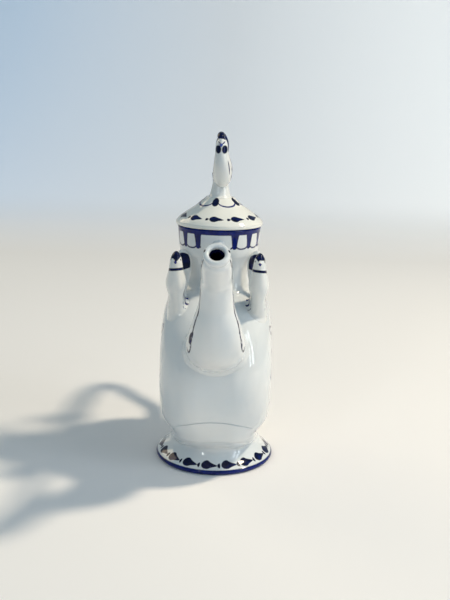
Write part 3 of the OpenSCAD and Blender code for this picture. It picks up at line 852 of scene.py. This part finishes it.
SCROLL = [(0, 44, HZ - 3, 4.2, 4.4), (0, 52, HZ - 8, 3.6, 3.6), (0, 57.5, HZ - 13, 2.6, 2.8),
          (0, 58.5, HZ - 17.5, 1.2, 1.4)]
scroll = mesh_piece("Thumb_scroll", [(swept(SCROLL, 40, 32), False)], "pot", [])
finish(scroll, plain_glaze)

REST = [(0, 56, HZ - 2, 5.2, 6.4), (0, 53.5, HZ + 8, 5, 6), (0, 49.5, HZ + 19, 4.6, 5.6),
        (0, 44.5, HZ + 29, 4, 5), (0, 40.5, HZ + 35.5, 2.6, 3.2), (0, 38.8, HZ + 38, 0.8, 1)]
rest = flow(swept(REST, 60, 48), lambda q: np.hypot(q[..., 0], q[..., 2] - HZ + 0.8) - 6.0, 2.4)
rest = mesh_piece("Thumb_rest", [(rest, False)], "pot", [])
p = points_of(rest)
spots = [dot(44 + 2.2 * k, HZ + 30 - 5.6 * k, 2.2) for k in range(4)]
spine = stroke([(40.5, HZ + 35), (44, HZ + 24), (49, HZ + 10)], 1.3, "tail", (0.9, 0.8))
sd, tone = lay(p[:, 1:], spots + [spine])
finish(rest, band_glaze, stroke=np.where(np.abs(p[:, 0]) > 1.6, sd, BARE), tone=tone)

bridge_path = np.stack([np.zeros(60), np.linspace(-24.7, -79, 60), np.full(60, COLLAR_Z + 5.0)], 1)
bridge = strap_along("Spout_bridge", bridge_path, 7.4, 11.4, 90, 40, plain_glaze)
flow_mesh(bridge, to_neck, 2.0)
out_of_bore(bridge)
settle(bridge, "pot", ["spout_bridge"])

# ---- birds -----------------------------------------------
# the width that a bird's sections are shares of, and how far apart the two birds stand
BW, SPAN = 13.0, 52.0
BREAST_PATH = [
    (0, -22, 98.9, BW * 0.40, 7), (0, -25.5, 107.4, BW * 0.47, 8.2), (0, -29, 114.9, BW * 0.45, 8.2),
    (0, -33.5, 121.9, BW * 0.40, 8), (0, -37, 129.4, BW * 0.50, 8.4), (0, -39.3, 136.7, BW * 0.375, 6.5),
    (0, -39.9, 140.9, BW * 0.32, 5.3), (0, -39.7, 145.3, BW * 0.26, 4.5), (0, -39, 148.3, BW * 0.15, 2.9),
    (0, -38.7, 149.5, BW * 0.05, 1.0)]
FAN_PATH = [
    (-1.2, -25, 105.9, BW * 0.25, 4), (-1.8, -21.8, 116.9, BW * 0.26, 2.8),
    (-2.6, -19.6, 126.9, BW * 0.36, 2.1), (-3, -18.2, 135.9, BW * 0.45, 1.8),
    (-3, -17.4, 142.4, BW * 0.40, 1.6), (-2.8, -17, 146.9, BW * 0.10, 0.8)]


def shoulder_bird(name, side, node):
    """A bird with its tail fan behind it; side is -1 for the left shoulder and 1 for the right."""
    mid = side * SPAN / 2
    c, f = along(BREAST_PATH, 150), along(FAN_PATH, 90)
    c[:, 0], f[:, 0] = mid, mid + side * f[:, 0] * (1.0 if side < 0 else 0.45)
    g = flow(rings_along(c, lean(c), 72), to_disc, 2.4)
    fan = flow(rings_along(f, lean(f), 60), to_disc, 1.6)
    beak = swept([(mid, -42.6, 144.4, 1.7, 1.8), (mid, -45.2, 143.9, 1.2, 1.2),
                  (mid, -47.2, 143.2, 0.35, 0.35)], 16, 20)
    obj = mesh_piece(name, [(g, False), (fan, False), (beak, False)], "pot", [node])
    p = points_of(obj)
    x, y, z = p[:, 0] - mid, p[:, 1], p[:, 2]
    on_fan = np.abs(y - f[np.argmin(np.abs(z[:, None] - f[None, :, 2]), 1), 1]) < 2.6
    on_fan &= (y > -30) & (z > 112)
    # small dark cap over the crown and nape, with a bare face below it
    cap = np.minimum((z - 146.0) * 0.9 + 0.45 * np.maximum(y + 39.0, 0) + 0.16 * side * x, 3)
    point = ((z - (143.6 if side < 0 else 145.0)) * 0.9 - np.abs(x + (0.3 if side < 0 else 1.0) * side)) * 0.8
    cap = np.maximum(cap, np.where(y < -39, np.minimum(point, 2), BARE))
    # thin collar under the face
    collar = 0.85 - np.abs(z - 138.6 + 0.10 * (y + 40) + 0.08 * side * x)
    # flank feathers, drawn on the side of the bird as seen from beside it
    wing, wing_tone = lay(p[:, 1:], [
        stroke([(-33, 134), (-28, 124), (-25, 112)], 5.6, "drop", (0.95, 0.6), 0.25),
        stroke([(-36.5, 131), (-33, 121), (-29.5, 110)], 2.2, "leaf", (0.95, 0.75), 0.2),
        stroke([(-39.5, 128), (-37, 120), (-33, 111)], 1.5, "leaf", (0.9, 0.8)),
        stroke([(-41, 121), (-38, 114), (-35, 108)], 1.1, "leaf", (0.85, 0.8))])
    sd, tone = layers((cap, 0.97), (collar, 0.95), (np.where(np.abs(x) > 4.4, wing, BARE), wing_tone))
    # tail fan: dark with a bare rim and pale lines between the feathers
    fx = x + side * (3 if side < 0 else 1.35)
    half = np.interp(z, f[:, 2], f[:, 3])
    tips = np.minimum(z - 133.8 + 0.35 * fx * side, 145.0 - z - 0.10 * fx ** 2)
    vane = np.minimum(half - 0.9 - np.abs(fx), tips)
    lines = np.abs(np.abs(fx / np.maximum(half, 1)) * 2.2 % 1.0 - 0.5) * 5 - 0.35
    front = y < np.interp(z, f[:, 2], f[:, 1])
    vane = np.clip(np.where(front, vane, np.minimum(vane, lines)), BARE, 2)
    eye = 0.6 - np.hypot(y + 42.2, z - 144.8)
    beak_tip = np.minimum(-(y + 46.0), 2)
    sd, tone = layers((np.where(on_fan, BARE, sd), tone),
                      (np.where(on_fan, vane, BARE), np.where(front, 0.98, 0.8)),
                      (np.where(np.abs(x) > 1.2, eye, BARE), 1.0), (np.where(z > 140, beak_tip, BARE), 0.7))
    finish(obj, bird_glaze, stroke=sd, tone=tone)


shoulder_bird("Left_shoulder_bird", -1, "left_bird")
shoulder_bird("Right_shoulder_bird", 1, "right_bird")

# ---- lid -------------------------------------------------
DOME_Z, TOP_Z = MOUTH_Z + LID_RIM, MOUTH_Z + LID_RIM + LID_RISE
DOME = [(0.93, 0.11), (0.845, 0.23), (0.755, 0.35), (0.65, 0.48), (0.56, 0.59), (0.43, 0.79)]
crown = along([(LID_R, MOUTH_Z + 1.2), (LID_R, DOME_Z - 0.7), (LID_R * 0.975, DOME_Z + 0.3),
               *((LID_R * k, DOME_Z + LID_RISE * h) for k, h in DOME),
               (LID_TOP_R + 1.1, TOP_Z - 1.1), (LID_TOP_R, TOP_Z - 0.3), (0.3, TOP_Z)], 130)
rim = arc(LID_R - 0.9, MOUTH_Z + 0.9, 0.9, -90, 0, 8)
flange_in, flange_out = 20.4, 23.0
hollow = along([(0.3, TOP_Z - 4), (LID_TOP_R - 2.5, TOP_Z - 4.2), (LID_R * 0.33, DOME_Z + LID_RISE * 0.59),
                (LID_R * 0.49, DOME_Z + LID_RISE * 0.38), (flange_in - 1.0, DOME_Z + 2.0),
                (flange_in, DOME_Z + 0.6), (flange_in, MOUTH_Z)], 60)
lid = mesh_piece("Lid_dome", [(spun(fine(np.vstack([rim, crown]), 0.6), LATHE_SIDES), False),
                              (spun(np.vstack([hollow, [[LID_R - 0.8, MOUTH_Z]]]), LATHE_SIDES), False)],
                 "lid", ["lid_dome"])
p, angle, radius = around_z(lid)
drops = lay(np.stack([folded(angle, LID_DROPS, -4.6) * radius, LID_R - (LID_R - radius) * 1.2], 1), [
    stroke([(-2.5, 23.7), (0.2, 23.6), (4.9, 24.1)], 5.0, "drop", (1.0, 0.9), 0.05),
    stroke([(-7.6, 24.2), (-6.3, 23.9), (-5.2, 23.5)], 2.1, "leaf", (1.0, 0.95))])
LID_TURN = -13
arcs = lay(np.stack([folded(angle, LID_ARCS, LID_TURN + 180 / LID_ARCS) * np.maximum(radius, 5), radius], 1), [
    stroke([(-6.6, 11.0), (-5.0, 13.8), (0, 14.9), (5.0, 13.8), (6.6, 11.0)], 0.95, "line",
           (0.7, 0.7), n=24)])
g = folded(angle, LID_ARCS, LID_TURN)
spots = lay(np.stack([radius * np.sin(g), radius * np.cos(g)], 1),
            [stroke([(0, 11.2), (0, 12.5)], 4.3, "line", (1.0, 1.0), n=4)])
sd, tone = layers(drops, arcs, spots)
dome = (p[:, 2] > DOME_Z + 0.5) & (p[:, 2] > DOME_Z + (LID_R - radius) * 0.3)
finish(lid, lid_glaze_painted_sun, stroke=np.where(dome, sd, BARE), tone=tone)

low, cut = MOUTH_Z - FLANGE_H, 0.8
ring = np.array([[flange_in, MOUTH_Z], [flange_in, low + cut], [flange_in + cut, low],
                 [flange_out - cut, low], [flange_out, low + cut], [flange_out, MOUTH_Z]])
flange = mesh_piece("Lid_flange", [(spun(fine(ring, 1.0, True), 200), True)], "lid",
                    ["lid_flange"])
finish(flange, plain_glaze)

# ---- bird on the lid -------------------------------------
# the width that the knob bird's sections are shares of, and the height that it is drawn from
FW, FZ = 12.8, 178.0
FINIAL_PATH = [(0, 33, FZ + 40.5, FW * 0.16, 1.8), (0, 31.5, FZ + 35, FW * 0.34, 4.4),
               (0, 24, FZ + 25, FW * 0.36, 5.6), (0, 11, FZ + 18, FW * 0.42, 7.4),
               (0, -3, FZ + 17, FW * 0.49, 9.2), (0, -11.5, FZ + 23, FW * 0.46, 8.4),
               (0, -14, FZ + 31.5, FW * 0.33, 5.8), (0, -14, FZ + 37, FW * 0.28, 4.8),
               (0, -13.5, FZ + 41, FW * 0.12, 2.2)]
COMB_PATH = [(0, -19, FZ + 37.5, 0.9, 1), (0, -17, FZ + 40.4, 2.2, 2.4), (0, -12.8, FZ + 41.3, 2.4, 2.6),
             (0, -8, FZ + 38, 1, 1.4)]
c = along(FINIAL_PATH, 150)
c[:, 0] = np.where(c[:, 1] < 6, 0.4 + 1.0 * np.exp(-((c[:, 2] - FZ - 21) / 8) ** 2), 0.4)
v = lean(c)
beak = swept([(0, -16.5, FZ + 36.6, 1.9, 1.9), (0, -20.0, FZ + 36.0, 1.2, 1.2),
              (0, -22.6, FZ + 35.2, 0.35, 0.35)], 16, 20)
stem = along([(LID_TOP_R, TOP_Z - 0.6), (7.0, TOP_Z + 0.7), (6.2, TOP_Z + 3), (5.4, TOP_Z + 6.5),
              (5.0, FZ + 11.7), (5.6, FZ + 17)], 50)
finial = mesh_piece("Knob_bird", [(rings_along(c, v, 64), False), (swept(COMB_PATH, 40, 24), False),
                                  (beak, False), (spun(stem, 64), False)],
                    "lid", ["finial_bird"])
p = points_of(finial)
n, _, _ = on_path(p, c, v)
t = n / (len(c) - 1)
x, y, z = p[:, 0] - 0.4, p[:, 1], p[:, 2] - FZ
wide = np.abs(x)
cap = np.minimum((z - 38.4) + 0.25 * (y + 14) - 0.06 * wide ** 1.6, 3)
cheek = 1.75 - np.hypot((wide - 2.05) * 0.98, (z - 33.2) * 0.68)
brow = 0.4 - np.abs(z - 36.2 - 0.8 * wide) * 0.8
wing, wing_tone = lay(np.stack([y, z], 1), [
    stroke([(-12, 27), (-4, 21), (8, 18), (18, 20)], 6.4, "drop", (0.95, 0.6), 0.25),
    stroke([(-12, 21), (-4, 16.4), (7, 13.6), (15, 15)], 3.4, "drop", (0.9, 0.55), 0.2),
    stroke([(-10, 16), (-2, 12.4), (6, 10.6)], 2.2, "drop", (0.85, 0.5), 0.2),
    stroke([(-18.5, 27), (-17.5, 22), (-14.5, 17)], 1.5, "leaf", (0.85, 0.8)),
    stroke([(-20.5, 24), (-19.5, 19), (-16, 14)], 1.3, "leaf", (0.85, 0.8))])
# tail: dark feathers with pale lines between them
lines = np.abs((wide / np.maximum(c[n, 3], 0.5)) * 2.5 % 1.0 - 0.5) * 2.4 - 0.2
tail = np.where((t < 0.34) & (y > 12), np.minimum(np.minimum(2.0, (0.34 - t) * 22), lines), BARE)
beak_tip = np.where((y < -19.6) & (z > 33) & (z < 38), np.minimum(-(y + 20.4), 2), BARE)
sd, tone = layers((cap, 0.97), (np.where(y < -14.5, cheek, BARE), 1.0),
                  (np.where((y < -17) & (wide < 2.2), brow, BARE), 0.75),
                  (np.where(wide > 0.80 * c[n, 3], wing, BARE), wing_tone),
                  (tail, 0.95 - 0.3 * t), (beak_tip, 0.5))
finish(finial, bird_glaze, stroke=sd, tone=tone)


# ---- floor, light and camera -----------------------------
def stage_floor():
    """A sheet, in metres, that lies flat and turns up behind the pot in a wide curve."""
    reach, bend, near_edge, top = 4.0, 0.9, 1.2, 3.5
    turns = np.linspace(0, math.pi / 2, 24)
    prof = [(-reach, 0.0), *((near_edge + bend * math.sin(a), bend - bend * math.cos(a)) for a in turns),
            (near_edge + bend, top)]
    mesh = bpy.data.meshes.new("floor")
    mesh.from_pydata([(x, y, z) for y, z in prof for x in (-reach, reach)], [],
                     [(2 * k, 2 * k + 1, 2 * k + 3, 2 * k + 2) for k in range(len(prof) - 1)])
    smooth(mesh)
    obj = linked("floor", mesh)
    mat, tree, shader = new_material("Pale floor")
    # painted light: for the camera alone, the wall behind glows paler towards the window side and bluer on the
    # other side
    at = node(tree, "ShaderNodeSeparateXYZ", {0: node(tree, "ShaderNodeTexCoord").outputs["Object"]})
    wall = ramp_node(tree, linear(tree, at.outputs["X"], 0.85, 0.5, clamp=True),
                     [(0.0, (0.02, 0.10, 0.21)), (0.5, (0.11, 0.14, 0.18)), (1.0, (0.34, 0.36, 0.37))])
    seen = node(tree, "ShaderNodeLightPath").outputs["Is Camera Ray"]
    rise = linear(tree, at.outputs["Y"], 1.6, -1.2, clamp=True)
    feed(tree, shader, {"Base Color": (0.885, 0.868, 0.865), "Roughness": 0.7, "Emission Color": wall,
                        "Emission Strength": math_node(tree, "MULTIPLY", rise, seen)})
    mesh.materials.append(mat)


def area(name, loc, width, height, power, colour, aim=0.1):
    """A lit panel that faces a point on the axis of the pot."""
    light = bpy.data.lights.new(name, "AREA")
    light.shape, light.size, light.size_y = "RECTANGLE", width, height
    light.energy, light.color = power, colour
    obj = linked(name, light)
    obj.location = loc
    obj.rotation_euler = (Vector((0, 0, aim)) - Vector(loc)).to_track_quat("-Z", "Y").to_euler()


stage_floor()
area("key", (1.0, 0.02, 1.45), 0.17, 0.17, 22.5, (1.0, 0.865, 0.665))
area("window left", (1.12, -0.80, 0.72), 0.10, 1.1, 2.6, (0.84, 0.92, 1.0))
area("window right", (1.24, -0.60, 0.72), 0.10, 1.1, 2.6, (0.84, 0.92, 1.0))
area("strip", (-0.62, -1.20, 0.62), 0.07, 0.35, 1.3, (1, 1, 1))
area("back", (-1.2, 0.9, 1.0), 0.8, 0.8, 5, (1.0, 0.82, 0.56), aim=0.12)

# the camera sees a pale room; its light on the pot is that of a blue sky
world = bpy.data.worlds.new("studio")
bpy.context.scene.world = world
world.use_nodes = True
tree = world.node_tree
sky = tree.nodes["Background"]
feed(tree, sky, {0: (0.50, 0.79, 1.0), 1: 0.31})
room = node(tree, "ShaderNodeBackground", {0: (0.80, 0.82, 0.83), 1: 0.85})
seen = node(tree, "ShaderNodeLightPath").outputs["Is Camera Ray"]
mixed = node(tree, "ShaderNodeMixShader", {0: seen, 1: sky, 2: room})
feed(tree, tree.nodes["World Output"], {"Surface": mixed})
bpy.context.scene.view_settings.view_transform = "Standard"

camera = bpy.data.cameras.new("camera")
camera.sensor_fit, camera.sensor_height, camera.sensor_width, camera.lens = "VERTICAL", 36, 27, 51.0
viewer = linked("camera", camera)
viewer.location = (0.0050, -0.5586, 0.2429)
pitch, roll = math.radians(13.394), math.radians(1.5)
look = Matrix.Rotation(math.pi / 2 - pitch, 4, "X") @ Matrix.Rotation(roll, 4, "Z")
viewer.rotation_euler = look.to_euler()
bpy.context.scene.camera = viewer
